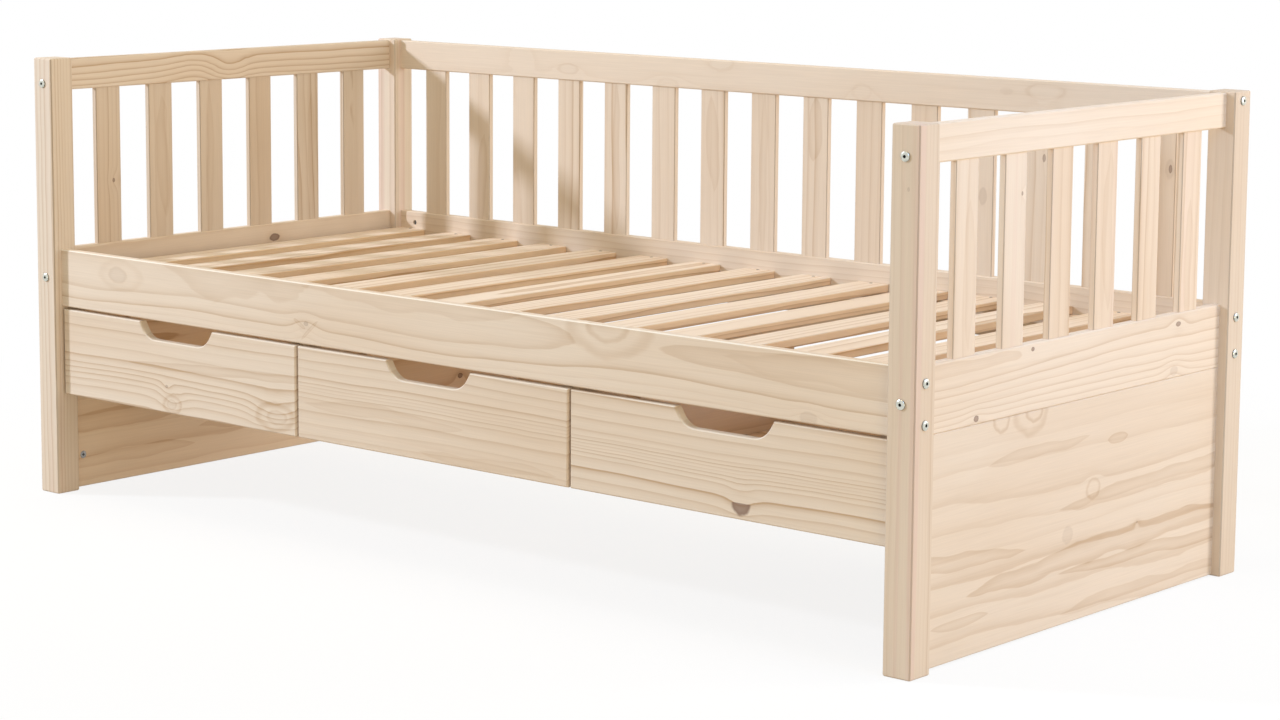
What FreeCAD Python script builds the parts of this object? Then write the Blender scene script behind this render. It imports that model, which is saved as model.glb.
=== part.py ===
import FreeCAD, Part
import math
import os
import re

import Sketcher
from FreeCAD import Rotation, Vector

# Cabin bed of planed pine with three drawers. Millimetres, origin on the floor under the middle
# of the bed, +X along its length to the foot end, +Y to the back and +Z up.

SIZES = {
    # Over the posts
    "bed_length": 2080,
    "bed_width": 972,
    "bed_height": 845,
    "post_side": 52,
    "post_ease": 2,
    # Rails between the posts and panels under the end rails
    "rail_thickness": 18,
    "rail_ease": 2,
    "side_rail_base": 367.5,
    "side_rail_height": 110,
    "top_rail_height": 60,
    "top_rail_drop": 2.5,
    "panel_floor_gap": 2,
    "panel_ease": 1.5,
    # Upright slats with stub tenons
    "upright_width": 60,
    "upright_thickness": 12,
    "upright_ease": 1.5,
    "end_upright_count": 6,
    "back_upright_count": 15,
    "back_upright_pitch": 126.5,
    "tenon_width": 40,
    "tenon_thickness": 8,
    "tenon_length": 12,
    "joint_play": 0.2,
    # Stub tenons of the rails and the tongue of the end panels
    "rail_tenon_thickness": 10,
    "rail_tenon_length": 12,
    "rail_tenon_shoulder": 10,
    "panel_tongue_thickness": 8,
    "panel_tongue_height": 10,
    # Bed slats on ledgers
    "bed_slat_count": 15,
    "bed_slat_pitch": 136,
    "bed_slat_width": 70,
    "bed_slat_thickness": 15,
    "bed_slat_ease": 1.5,
    "bed_slat_top": 441.5,
    "bed_slat_end_play": 0.3,
    "ledger_thickness": 20,
    "ledger_height": 30,
    # Connector bolts and barrel nuts
    "bolt_row_pitch": 32,
    "bolt_shank": 6,
    "bolt_length": 100,
    "bolt_head": 16,
    "bolt_head_height": 3,
    "bolt_head_flat": 10,
    "bolt_bore": 7,
    "bolt_bore_reach": 52,
    "nut_diameter": 10,
    "nut_length": 14,
    "nut_bore": 10.4,
    "nut_inset": 42,
    # Cam locks that hold the end panels
    "cam_diameter": 15,
    "cam_depth": 12.5,
    "cam_bore": 15.4,
    "cam_inset": 24,
    "cam_rise": 65,
    "cam_slot": 7.8,
    "cam_key": 6,
    "cam_key_width": 1.5,
    "cam_key_depth": 3,
    "cam_bolt_shank": 5,
    "cam_bolt_pin": 7.4,
    "cam_bolt_in_post": 11,
    "cam_bolt_play": 1,
    "cam_edge_bore": 8,
    "cam_post_bore": 5.4,
    # Drawer fronts and their hand cut-outs
    "front_base": 196,
    "front_height": 166,
    "front_gap": 6,
    "front_end_gap": 4,
    "front_ease": 2,
    "hand_top_width": 202,
    "hand_bottom_width": 163,
    "hand_depth": 32,
    "hand_floor_radius": 40,
    # Drawer boxes
    "box_width": 636,
    "box_depth": 560,
    "box_base": 213,
    "side_height": 130,
    "side_thickness": 14,
    "side_ease": 1.5,
    "tongue_thickness": 7,
    "tongue_length": 8,
    "housing_depth": 4,
    "housing_inset": 6,
    "bottom_thickness": 5,
    "bottom_rise": 10,
    "bottom_groove": 6,
    # What the drawers hang on and run in
    "drawer_travel": 400,
    "run_play": 0.4,
    "side_play": 2,
    "stop_play": 0.5,
    "divider_thickness": 18,
    "divider_play": 0.5,
    "divider_lift": 1.5,
    "divider_hang_end": 125,
    "guide_length": 780,
    "runner_width": 22,
    "runner_height": 14.5,
    "runner_length": 570,
    "kicker_width": 30,
    "kicker_height": 18,
    "stop_width": 12,
    "stop_length": 20,
    "stop_height": 12,
    "batten_ease": 1,
    "bracket_leg": 40,
    "bracket_height": 24,
    "bracket_gauge": 2,
}

# Where things stand, worked out from the driving sizes
POST_X = "(bed_length - post_side) / 2"
POST_Y = "(bed_width - post_side) / 2"
SPAN_X = "(bed_length - 2 * post_side)"
SPAN_Y = "(bed_width - 2 * post_side)"
INNER_X = "((bed_length - post_side - rail_thickness) / 2)"
INNER_Y = "((bed_width - post_side - rail_thickness) / 2)"
SIDE_RAIL_Z = "(side_rail_base + side_rail_height / 2)"
SIDE_RAIL_TOP = "(side_rail_base + side_rail_height)"
TOP_RAIL_Z = "(bed_height - top_rail_drop - top_rail_height / 2)"
TOP_RAIL_BASE = "(bed_height - top_rail_drop - top_rail_height)"
ROW = "bolt_row_pitch"
HALF_ROW = "(bolt_row_pitch / 2)"
UPRIGHT_Z = f"(({SIDE_RAIL_TOP} + {TOP_RAIL_BASE}) / 2)"
UPRIGHT_LENGTH = f"({TOP_RAIL_BASE} - {SIDE_RAIL_TOP})"
END_UPRIGHT_PITCH = f"({SPAN_Y} + upright_width) / (end_upright_count + 1)"
PANEL_HEIGHT = "(side_rail_base - panel_floor_gap)"
PANEL_Z = f"(panel_floor_gap + {PANEL_HEIGHT} / 2)"
LEDGER_TOP = "(bed_slat_top - bed_slat_thickness)"
FRONT_WIDTH = f"(({SPAN_X} - 2 * front_end_gap - 2 * front_gap) / 3)"
DRAWER_PITCH = f"({FRONT_WIDTH} + front_gap)"
DIVIDER_X = f"({DRAWER_PITCH} / 2)"
BOTTOM_Z = "(box_base + bottom_rise + bottom_thickness / 2)"
BOTTOM_TOP = "(box_base + bottom_rise + bottom_thickness)"
BOX_INNER = "(box_width - 2 * side_thickness)"
BOX_BACK_Y = f"(-{INNER_Y} + box_depth)"
KICKER_Z = "(box_base + side_height + run_play + kicker_height / 2)"
RUNNER_Z = "(box_base - run_play - runner_height / 2)"
RUN_Y = f"(-{INNER_Y} + stop_play + runner_length / 2)"

ENDS = {"left": -1, "right": 1}
SIDES = {"front": -1, "back": 1}
SECTION_PLANES = {"X": "YZ_Plane", "Y": "XZ_Plane", "Z": "XY_Plane"}
PLANE_FACING = {"X": 1, "Y": -1, "Z": 1}
# Shanks, nuts, cams and their bores are many and hidden, so they are eight-sided to stay light
HIDDEN_SIDES = 8
TINY = 1e-4

doc = FreeCAD.newDocument("cabin_bed")
sheet = doc.addObject("Spreadsheet::Sheet", "Sizes")
nodes = []


def fill_sheet():
    for line, (alias, value) in enumerate(SIZES.items(), start=1):
        sheet.set(f"A{line}", alias)
        sheet.set(f"B{line}", str(value))
        sheet.setAlias(f"B{line}", alias)
    doc.recompute()


def on_sheet(text):
    return re.sub("[a-z_]+", lambda word: f"Sizes.{word[0]}" if word[0] in SIZES else word[0], text)


def size(text):
    return float(sheet.evalExpression(on_sheet(text)))


def bind(thing, name, text):
    thing.setExpression(name, on_sheet(text))


def place(thing, x, y, z):
    for axis, text in zip("xyz", (x, y, z)):
        bind(thing, f"Placement.Base.{axis}", text)


def new_body(label, x="0", y="0", z="0", is_node=True):
    body = doc.addObject("PartDesign::Body", label)
    body.Label = label
    place(body, x, y, z)
    if is_node:
        nodes.append(body)
    return body


def origin_part(body, role):
    return next(part for part in body.Origin.OriginFeatures if part.Role == role)


def section_sketch(body, along, at="0"):
    """A sketch square to one axis of the body, at a distance along that axis."""
    drawing = body.newObject("Sketcher::SketchObject", "section")
    drawing.AttachmentSupport = [(origin_part(body, SECTION_PLANES[along]), "")]
    drawing.MapMode = "FlatFace"
    bind(drawing, "AttachmentOffset.Base.z", f"{PLANE_FACING[along]} * ({at})")
    return drawing


def dimension(drawing, name, text, *constraint):
    number = drawing.addConstraint(Sketcher.Constraint(*constraint, size(text)))
    drawing.renameConstraint(number, name)
    bind(drawing, f"Constraints.{name}", text)


def put_point(drawing, name, geometry, point, x, y):
    """Fixes a point of the drawing at x, y from the drawing's origin."""
    for axis, text, line in (("X", x, -2), ("Y", y, -1)):
        if abs(size(text)) < TINY:
            drawing.addConstraint(Sketcher.Constraint("PointOnObject", geometry, point, line))
        else:
            dimension(drawing, f"{name}_{axis}", text, f"Distance{axis}", -1, 1, geometry, point)


def polygon(drawing, corners):
    """A closed outline of straight lines, each corner an x and a y."""
    points = [Vector(size(x), size(y), 0) for x, y in corners]
    first = drawing.GeometryCount
    count = len(points)
    for here, there in zip(points, points[1:] + points[:1]):
        drawing.addGeometry(Part.LineSegment(here, there))
    for step in range(count):
        line, following = first + step, first + (step + 1) % count
        drawing.addConstraint(Sketcher.Constraint("Coincident", line, 2, following, 1))
    for step, (x, y) in enumerate(corners):
        put_point(drawing, f"corner_{first + step}", first + step, 1, x, y)


def rectangle(drawing, wide, tall, x="0", y="0"):
    left, right = f"{x} - ({wide}) / 2", f"{x} + ({wide}) / 2"
    low, high = f"{y} - ({tall}) / 2", f"{y} + ({tall}) / 2"
    polygon(drawing, [(left, low), (right, low), (right, high), (left, high)])


def eased_rectangle(drawing, wide, tall, ease):
    """A section of planed timber, centred, with its four arrises taken off."""
    a, b = f"({wide}) / 2", f"({tall}) / 2"
    near_a, near_b = f"({a} - {ease})", f"({b} - {ease})"
    polygon(drawing, [(f"-{near_a}", f"-{b}"), (near_a, f"-{b}"), (a, f"-{near_b}"), (a, near_b),
                      (near_a, b), (f"-{near_a}", b), (f"-{a}", near_b), (f"-{a}", f"-{near_b}")])


def prisms(drawing, diameter, centres):
    """The sections of hidden fittings or their bores, with a corner on each axis."""
    turns = [2 * math.pi * step / HIDDEN_SIDES for step in range(HIDDEN_SIDES)]
    for x, y in centres:
        polygon(drawing, [(f"{x} + ({diameter}) / 2 * {math.cos(turn):.6f}",
                           f"{y} + ({diameter}) / 2 * {math.sin(turn):.6f}") for turn in turns])


def pad(body, drawing, length, both_ways=True):
    feature = body.newObject("PartDesign::Pad", "pad")
    feature.Profile = drawing
    feature.SideType = "Symmetric" if both_ways else "One side"
    bind(feature, "Length", length)
    return feature


def pocket(body, drawing, along, towards, depth):
    """Cuts a drawing into the body, towards the plus or the minus end of an axis."""
    before = body.Shape.Volume
    feature = body.newObject("PartDesign::Pocket", "pocket")
    feature.Profile = drawing
    feature.Reversed = towards * PLANE_FACING[along] > 0
    bind(feature, "Length", depth)
    doc.recompute()
    if body.Shape.Volume > before - TINY:
        raise RuntimeError(f"{body.Label}: a pocket along {along} cuts nothing")
    return feature


def bores(body, along, start, towards, depth, diameter, centres):
    drawing = section_sketch(body, along, start)
    prisms(drawing, diameter, centres)
    return pocket(body, drawing, along, towards, depth)


def row(body, features, along, pitch, count):
    """Repeats features of a body in a straight row."""
    pattern = body.newObject("PartDesign::LinearPattern", "row")
    pattern.Originals = features
    pattern.Direction = (origin_part(body, f"{along}_Axis"), [""])
    bind(pattern, "Length", f"({pitch}) * ({count} - 1)")
    bind(pattern, "Occurrences", count)
    body.Tip = pattern
    return pattern


def work_edges(body, kind, amount, wanted):
    """Rounds or chamfers the edges of the body that pass the test."""
    doc.recompute()
    base = body.Tip
    names = []
    for number, edge in enumerate(base.Shape.Edges, start=1):
        if wanted([vertex.Point for vertex in edge.Vertexes]):
            names.append(f"Edge{number}")
    feature = body.newObject(f"PartDesign::{kind}", "edges")
    feature.Base = (base, names)
    bind(feature, "Radius" if kind == "Fillet" else "Size", amount)
    doc.recompute()
    return feature


def board(label, along, length, wide, tall, ease, at):
    """Planed timber with eased long edges, centred on its place."""
    body = new_body(label, *at)
    drawing = section_sketch(body, along)
    eased_rectangle(drawing, wide, tall, ease)
    pad(body, drawing, length)
    doc.recompute()
    return body


def rail(label, along, span, height, at):
    """A rail between two posts, with a stub tenon at each end."""
    body = board(label, along, span, "rail_thickness", height, "rail_ease", at)
    drawing = section_sketch(body, along)
    rectangle(drawing, "rail_tenon_thickness", f"{height} - 2 * rail_tenon_shoulder")
    pad(body, drawing, f"{span} + 2 * rail_tenon_length")
    doc.recompute()
    return body


def make_post(end, side):
    """A square post with a mortise and bolt bores for each rail that meets it."""
    x_sign, y_sign = ENDS[end], SIDES[side]
    body = new_body(f"{side}_{end}_post", f"{x_sign} * {POST_X}", f"{y_sign} * {POST_Y}")
    drawing = section_sketch(body, "Z")
    eased_rectangle(drawing, "post_side", "post_side", "post_ease")
    pad(body, drawing, "bed_height", both_ways=False)
    tall = size("bed_height")
    work_edges(body, "Chamfer", "post_ease", lambda ends: len({round(p.z, 3) for p in ends}) == 1 and
               (abs(ends[0].z) < TINY or abs(ends[0].z - tall) < TINY))

    low, high = f"{SIDE_RAIL_Z} - {ROW}", f"{SIDE_RAIL_Z} + {ROW}"
    lower_rail, top_rail = (SIDE_RAIL_Z, "side_rail_height"), (TOP_RAIL_Z, "top_rail_height")
    inner = {"Y": (f"{-y_sign} * post_side / 2", y_sign), "X": (f"{-x_sign} * post_side / 2", x_sign)}
    rails = {"Y": [lower_rail, top_rail], "X": [lower_rail]}
    bolts = {"Y": [SIDE_RAIL_Z, f"{TOP_RAIL_Z} - {HALF_ROW}"], "X": [low, high]}
    if side == "back":
        rails["X"].append(top_rail)
        bolts["X"].append(f"{TOP_RAIL_Z} + {HALF_ROW}")
    for along, (face, towards) in inner.items():
        mortises = section_sketch(body, along, face)
        for z, height in rails[along]:
            rectangle(mortises, "rail_tenon_thickness + 2 * joint_play",
                      f"{height} - 2 * rail_tenon_shoulder + 2 * joint_play", y=z)
        pocket(body, mortises, along, towards, "rail_tenon_length + 2 * joint_play")
        bores(body, along, face, towards, "post_side", "bolt_bore", [("0", z) for z in bolts[along]])
    face, towards = inner["Y"]
    bores(body, "Y", face, towards, "cam_bolt_in_post + cam_bolt_play", "cam_post_bore", [("0", "cam_rise")])


def bore_bolts(body, along, span, heights):
    """Bolt bores through both tenons of a rail."""
    for sign in (-1, 1):
        bores(body, along, f"{sign} * ({span} / 2 + rail_tenon_length)", -sign,
              "bolt_bore_reach + rail_tenon_length", "bolt_bore", [("0", z) for z in heights])


def bore_nuts(body, span, heights, nut_along, face_side):
    """Bores for the barrel nuts in the face of a rail that looks to the plus or the minus end of an axis."""
    reach = f"({span} / 2 - nut_inset)"
    centres = [(f"{sign} * {reach}", z) for sign in (-1, 1) for z in heights]
    depth = "(rail_thickness + nut_length) / 2 + joint_play"
    bores(body, nut_along, f"{face_side} * rail_thickness / 2", -face_side, depth, "nut_bore", centres)


def bore_nuts_below(body, height):
    """Bores for the barrel nuts in the lower edge of an end's top rail."""
    centres = [("0", f"{sign} * ({SPAN_Y} / 2 - nut_inset)") for sign in (-1, 1)]
    depth = f"{height} / 2 - {HALF_ROW} + nut_length / 2 + joint_play"
    bores(body, "Z", f"-{height} / 2", 1, depth, "nut_bore", centres)


def cut_mortises(body, along, pitch, count, height, towards):
    """A row of mortises in the top or bottom edge of a rail."""
    drawing = section_sketch(body, "Z", f"{towards} * -{height} / 2")
    first = f"-({pitch}) * ({count} - 1) / 2"
    wide, thick = "tenon_width + 2 * joint_play", "tenon_thickness + 2 * joint_play"
    if along == "X":
        rectangle(drawing, wide, thick, x=first)
    else:
        rectangle(drawing, thick, wide, y=first)
    mortise = pocket(body, drawing, "Z", towards, "tenon_length + 2 * joint_play")
    row(body, [mortise], along, pitch, count)
    doc.recompute()


def make_end(end):
    """Top rail, middle rail and lower panel of one end of the bed."""
    sign = ENDS[end]
    x = f"{sign} * {POST_X}"
    mortises = (END_UPRIGHT_PITCH, "end_upright_count")

    top = rail(f"{end}_end_top_rail", "Y", SPAN_Y, "top_rail_height", (x, "0", TOP_RAIL_Z))
    cut_mortises(top, "Y", *mortises, "top_rail_height", 1)
    bore_bolts(top, "Y", SPAN_Y, [f"-{HALF_ROW}"])
    bore_nuts_below(top, "top_rail_height")

    middle = rail(f"{end}_end_middle_rail", "Y", SPAN_Y, "side_rail_height", (x, "0", SIDE_RAIL_Z))
    cut_mortises(middle, "Y", *mortises, "side_rail_height", -1)
    bore_bolts(middle, "Y", SPAN_Y, ["0"])
    bore_nuts(middle, SPAN_Y, ["0"], "X", -sign)
    groove = section_sketch(middle, "Z", "-side_rail_height / 2")
    rectangle(groove, "panel_tongue_thickness + 2 * joint_play", SPAN_Y)
    pocket(middle, groove, "Z", 1, "panel_tongue_height + joint_play")

    panel = board(f"{end}_end_panel", "Y", SPAN_Y, "rail_thickness", PANEL_HEIGHT, "panel_ease",
                  (x, "0", PANEL_Z))
    tongue = section_sketch(panel, "Z", f"{PANEL_HEIGHT} / 2")
    rectangle(tongue, "panel_tongue_thickness", SPAN_Y)
    pad(panel, tongue, "panel_tongue_height", both_ways=False)
    doc.recompute()
    height = f"cam_rise - {PANEL_Z}"
    for side in SIDES.values():
        bores(panel, "Y", f"{side} * {SPAN_Y} / 2", -side, "cam_inset", "cam_edge_bore", [("0", height)])
    cams = [(f"{side} * ({SPAN_Y} / 2 - cam_inset)", height) for side in SIDES.values()]
    bores(panel, "X", f"{-sign} * rail_thickness / 2", sign, "cam_depth + joint_play", "cam_bore", cams)


def make_side_rail(label, side, height, z, bolts, mortise_edge, nut_face):
    """A rail along the front or the back, with mortises where uprights stand on it or under it."""
    sign = SIDES[side]
    body = rail(label, "X", SPAN_X, height, ("0", f"{sign} * {POST_Y}", z))
    if mortise_edge:
        cut_mortises(body, "X", "back_upright_pitch", "back_upright_count", height, mortise_edge)
    bore_bolts(body, "X", SPAN_X, bolts)
    bore_nuts(body, SPAN_X, bolts, "Y", nut_face)


def make_uprights(label, along, pitch, count, x, y):
    """A row of upright slats, each with a stub tenon at the top and the bottom."""
    first = f"-({pitch}) * ({count} - 1) / 2"
    along_x = along == "X"
    body = new_body(label, first if along_x else x, y if along_x else first, UPRIGHT_Z)
    slat = section_sketch(body, "Z")
    tenons = section_sketch(body, "Z")
    wide, thick = ("upright_width", "upright_thickness"), ("tenon_width", "tenon_thickness")
    eased_rectangle(slat, *(wide if along_x else wide[::-1]), "upright_ease")
    rectangle(tenons, *(thick if along_x else thick[::-1]))
    features = [pad(body, slat, UPRIGHT_LENGTH), pad(body, tenons, f"{UPRIGHT_LENGTH} + 2 * tenon_length")]
    row(body, features, along, pitch, count)


def make_bed_base():
    """Two ledgers on the side rails and the loose slats that lie across them."""
    first = "-bed_slat_pitch * (bed_slat_count - 1) / 2"
    body = new_body("bed_slats", first, "0", "bed_slat_top - bed_slat_thickness / 2")
    drawing = section_sketch(body, "Y")
    eased_rectangle(drawing, "bed_slat_width", "bed_slat_thickness", "bed_slat_ease")
    slat = pad(body, drawing, f"2 * ({INNER_Y} - bed_slat_end_play)")
    row(body, [slat], "X", "bed_slat_pitch", "bed_slat_count")
    for side, sign in SIDES.items():
        y = f"{sign} * ({INNER_Y} - ledger_thickness / 2)"
        board(f"{side}_slat_ledger", "X", SPAN_X, "ledger_thickness", "ledger_height", "batten_ease",
              ("0", y, f"{LEDGER_TOP} - ledger_height / 2"))


def make_divider(end):
    """A board across the bed, notched under the ledgers, whose front part hangs down between two drawers."""
    depth = f"(2 * ({INNER_Y} - divider_play))"
    low, high = "(front_base + divider_lift)", f"({LEDGER_TOP} - divider_play)"
    middle = f"(({low} + {high}) / 2)"
    body = new_body(f"{end}_drawer_divider", f"{ENDS[end]} * {DIVIDER_X}", "0", middle)
    drawing = section_sketch(body, "X")
    rectangle(drawing, depth, f"({high} - {low})")
    pad(body, drawing, "divider_thickness")
    doc.recompute()
    notches = section_sketch(body, "X", "-divider_thickness / 2")
    notch_height = f"({high} - ({LEDGER_TOP} - ledger_height - divider_play))"
    for sign in SIDES.values():
        rectangle(notches, "ledger_thickness", notch_height,
                  x=f"{sign} * ({depth} / 2 - ledger_thickness / 2)",
                  y=f"(({high} - {low}) / 2 - {notch_height} / 2)")
    cut_length, cut_height = f"({depth} / 2 - divider_hang_end)", f"(side_rail_base - {low})"
    rectangle(notches, cut_length, cut_height, x=f"({depth} - {cut_length}) / 2",
              y=f"({cut_height} - ({high} - {low})) / 2")
    pocket(body, notches, "X", 1, "divider_thickness")


def make_guide(end):
    """A board on the inside of an end panel, which guides the outer side of the end drawer."""
    inner = f"({DRAWER_PITCH} + box_width / 2 + side_play)"
    low, high = "(front_base + divider_lift)", f"({KICKER_Z} + kicker_height / 2)"
    board(f"{end}_drawer_guide", "Y", "guide_length", f"{INNER_X} - {inner}", f"{high} - {low}",
          "batten_ease", (f"{ENDS[end]} * ({INNER_X} + {inner}) / 2", "0", f"({low} + {high}) / 2"))


def make_batten_row(label, wide, tall, length, inset, y, z):
    """Six like battens, one along each side of the three drawers."""
    middle = f"(box_width / 2 + side_play - {inset} - ({wide}) / 2)"
    body = new_body(label, f"-{DRAWER_PITCH}", y, z)
    pair = section_sketch(body, "Y")
    for sign in ENDS.values():
        rectangle(pair, wide, tall, x=f"{sign} * {middle}")
    row(body, [pad(body, pair, length)], "X", DRAWER_PITCH, "3")


def make_drawer_front(name, x):
    """A drawer front with a hand cut-out in its top edge, grooved behind for the box."""
    body = new_body(f"{name}_drawer_front", x, f"-{POST_Y}", "front_base + front_height / 2")
    drawing = section_sketch(body, "Y")
    rectangle(drawing, FRONT_WIDTH, "front_height")
    pad(body, drawing, "rail_thickness")
    doc.recompute()
    hand = section_sketch(body, "Y", "-rail_thickness / 2")
    top, floor = "front_height / 2", "front_height / 2 - hand_depth"
    polygon(hand, [("-hand_top_width / 2", top), ("-hand_bottom_width / 2", floor),
                   ("hand_bottom_width / 2", floor), ("hand_top_width / 2", top)])
    pocket(body, hand, "Y", 1, "rail_thickness")

    half_floor, floor_z = size("hand_bottom_width / 2"), size(floor)

    def is_floor_corner(ends):
        level = all(abs(abs(p.x) - half_floor) < TINY and abs(p.z - floor_z) < TINY for p in ends)
        return level and abs(ends[0].x - ends[-1].x) < TINY

    work_edges(body, "Fillet", "hand_floor_radius", is_floor_corner)
    half = size("rail_thickness / 2")
    work_edges(body, "Chamfer", "front_ease", lambda ends: all(abs(abs(p.y) - half) < TINY for p in ends) and
               len({round(p.y, 3) for p in ends}) == 1)

    centre_z = "(front_base + front_height / 2)"
    groove = section_sketch(body, "Y", "rail_thickness / 2")
    rectangle(groove, f"{BOX_INNER} + side_thickness", "bottom_thickness + 2 * joint_play",
              y=f"({BOTTOM_Z} - {centre_z})")
    pocket(body, groove, "Y", -1, "bottom_groove")
    housings = section_sketch(body, "Y", "rail_thickness / 2")
    for sign in (-1, 1):
        rectangle(housings, "tongue_thickness + 2 * joint_play", "side_height + 2 * joint_play",
                  x=f"{sign} * (box_width - side_thickness) / 2",
                  y=f"(box_base + side_height / 2 - {centre_z})")
    pocket(body, housings, "Y", -1, "tongue_length + joint_play")


def make_drawer_side(name, end, x):
    """A drawer side: tongue at the front, groove for the bottom, housing for the back."""
    sign = ENDS[end]
    middle_z = "(box_base + side_height / 2)"
    body = board(f"{name}_drawer_{end}_side", "Y", "box_depth", "side_thickness", "side_height", "side_ease",
                 (f"{x} + {sign} * (box_width - side_thickness) / 2", f"-{INNER_Y} + box_depth / 2",
                  middle_z))
    tongue = section_sketch(body, "Y", "-box_depth / 2")
    rectangle(tongue, "tongue_thickness", "side_height")
    pad(body, tongue, "tongue_length", both_ways=False)
    doc.recompute()
    groove = section_sketch(body, "Y", "-box_depth / 2 - tongue_length")
    rectangle(groove, "bottom_groove", "bottom_thickness + 2 * joint_play",
              x=f"{-sign} * (side_thickness - bottom_groove) / 2", y=f"({BOTTOM_Z} - {middle_z})")
    pocket(body, groove, "Y", 1, "box_depth + tongue_length")
    housing = section_sketch(body, "X", f"{-sign} * side_thickness / 2")
    height = f"(box_base + side_height - {BOTTOM_TOP})"
    rectangle(housing, "side_thickness + 2 * joint_play", height,
              x="(box_depth / 2 - housing_inset - side_thickness / 2)", y=f"(side_height - {height}) / 2")
    pocket(body, housing, "X", sign, "housing_depth")


def make_drawer(name, step):
    """Front, two sides, back and bottom of one drawer."""
    x = f"{step} * {DRAWER_PITCH}"
    make_drawer_front(name, x)
    for end in ENDS:
        make_drawer_side(name, end, x)
    height = f"(box_base + side_height - {BOTTOM_TOP} - joint_play)"
    board(f"{name}_drawer_back", "X", f"{BOX_INNER} + 2 * (housing_depth - joint_play)",
          "side_thickness", height, "side_ease",
          (x, f"{BOX_BACK_Y} - housing_inset - side_thickness / 2", f"box_base + side_height - {height} / 2"))
    reach = "(bottom_groove - joint_play)"
    length = f"(box_depth - housing_inset + {reach})"
    bottom = new_body(f"{name}_drawer_bottom", x, f"-{INNER_Y} + {length} / 2 - {reach}", BOTTOM_Z)
    drawing = section_sketch(bottom, "Z")
    rectangle(drawing, f"{BOX_INNER} + 2 * {reach}", length)
    pad(bottom, drawing, "bottom_thickness")


def make_bolt():
    """A connector bolt with a low round head, seated at z 0."""
    body = new_body("connector_bolt", is_node=False)
    drawing = section_sketch(body, "Y")
    polygon(drawing, [("0", "0"), ("bolt_head / 2", "0"), ("bolt_head_flat / 2", "bolt_head_height"),
                      ("0", "bolt_head_height")])
    turned = body.newObject("PartDesign::Revolution", "turned")
    turned.Profile = drawing
    turned.ReferenceAxis = (drawing, ["V_Axis"])
    doc.recompute()
    shank = section_sketch(body, "Z")
    prisms(shank, "bolt_shank", [("0", "0")])
    pad(body, shank, "bolt_length", both_ways=False).Reversed = True
    return body


def make_nut():
    """A barrel nut, lying along z, with its bore along x."""
    body = new_body("barrel_nut", is_node=False)
    drawing = section_sketch(body, "Z")
    prisms(drawing, "nut_diameter", [("0", "0")])
    pad(body, drawing, "nut_length")
    doc.recompute()
    bores(body, "X", "-nut_diameter / 2", 1, "nut_diameter", "bolt_shank + 2 * joint_play", [("0", "0")])
    return body


def make_cam():
    """A cam disc, its face at z 0, with a key slot in the face and a slot towards +x for the cam bolt."""
    body = new_body("cam_disc", is_node=False)
    drawing = section_sketch(body, "Z")
    prisms(drawing, "cam_diameter", [("0", "0")])
    pad(body, drawing, "cam_depth", both_ways=False).Reversed = True
    doc.recompute()
    slot = section_sketch(body, "Z", "-cam_depth")
    rectangle(slot, "cam_diameter", "cam_slot", x="cam_diameter / 2 - cam_slot / 2")
    pocket(body, slot, "Z", 1, "cam_depth - rail_thickness / 2 + cam_slot / 2")
    key = section_sketch(body, "Z")
    rectangle(key, "cam_key", "cam_key_width")
    pocket(body, key, "Z", -1, "cam_key_depth")
    return body


def make_cam_bolt():
    """The bolt that a cam pulls on: its shank in the post below z 0, its pin in the panel and the cam."""
    body = new_body("cam_bolt", is_node=False)
    for diameter, length, into_post in (("cam_bolt_shank", "cam_bolt_in_post", True),
                                        ("cam_bolt_pin", "cam_inset", False)):
        drawing = section_sketch(body, "Z")
        prisms(drawing, diameter, [("0", "0")])
        pad(body, drawing, length, both_ways=False).Reversed = into_post
    return body


def make_bracket():
    """A bent steel angle, corner at the origin, legs along +x and +y."""
    body = new_body("angle_bracket", is_node=False)
    drawing = section_sketch(body, "Z")
    leg, gauge = "bracket_leg", "bracket_gauge"
    polygon(drawing, [("0", "0"), (leg, "0"), (leg, gauge), (gauge, gauge), (gauge, leg), ("0", leg)])
    pad(body, drawing, "bracket_height")
    return body


def copies(label, master, places):
    """One node of like pieces, each a linked copy of the master, turned and placed."""
    links = []
    for step, (x, y, z, turn) in enumerate(places):
        link = doc.addObject("App::Link", f"{label}_{step}")
        link.LinkedObject = master
        link.Placement.Rotation = turn
        place(link, x, y, z)
        links.append(link)
    group = doc.addObject("Part::Compound", label)
    group.Label = label
    group.Links = links
    nodes.append(group)


def rail_ends():
    """Each end of each rail: the direction out of the post, the direction from the middle of the bed to
    the rail's plane, its bolt heights, and the line that its barrel nuts lie along."""
    low, high = f"{SIDE_RAIL_Z} - {ROW}", f"{SIDE_RAIL_Z} + {ROW}"
    upright = Vector(0, 0, 1)
    found = []
    for x_sign in ENDS.values():
        for y_sign in SIDES.values():
            out_x, out_y = Vector(x_sign, 0, 0), Vector(0, y_sign, 0)
            found.append((out_y, out_x, [SIDE_RAIL_Z], out_x))
            found.append((out_y, out_x, [f"{TOP_RAIL_Z} - {HALF_ROW}"], upright))
            found.append((out_x, out_y, [low, high], out_y))
            if y_sign > 0:
                found.append((out_x, out_y, [f"{TOP_RAIL_Z} + {HALF_ROW}"], out_y))
    return found


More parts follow.
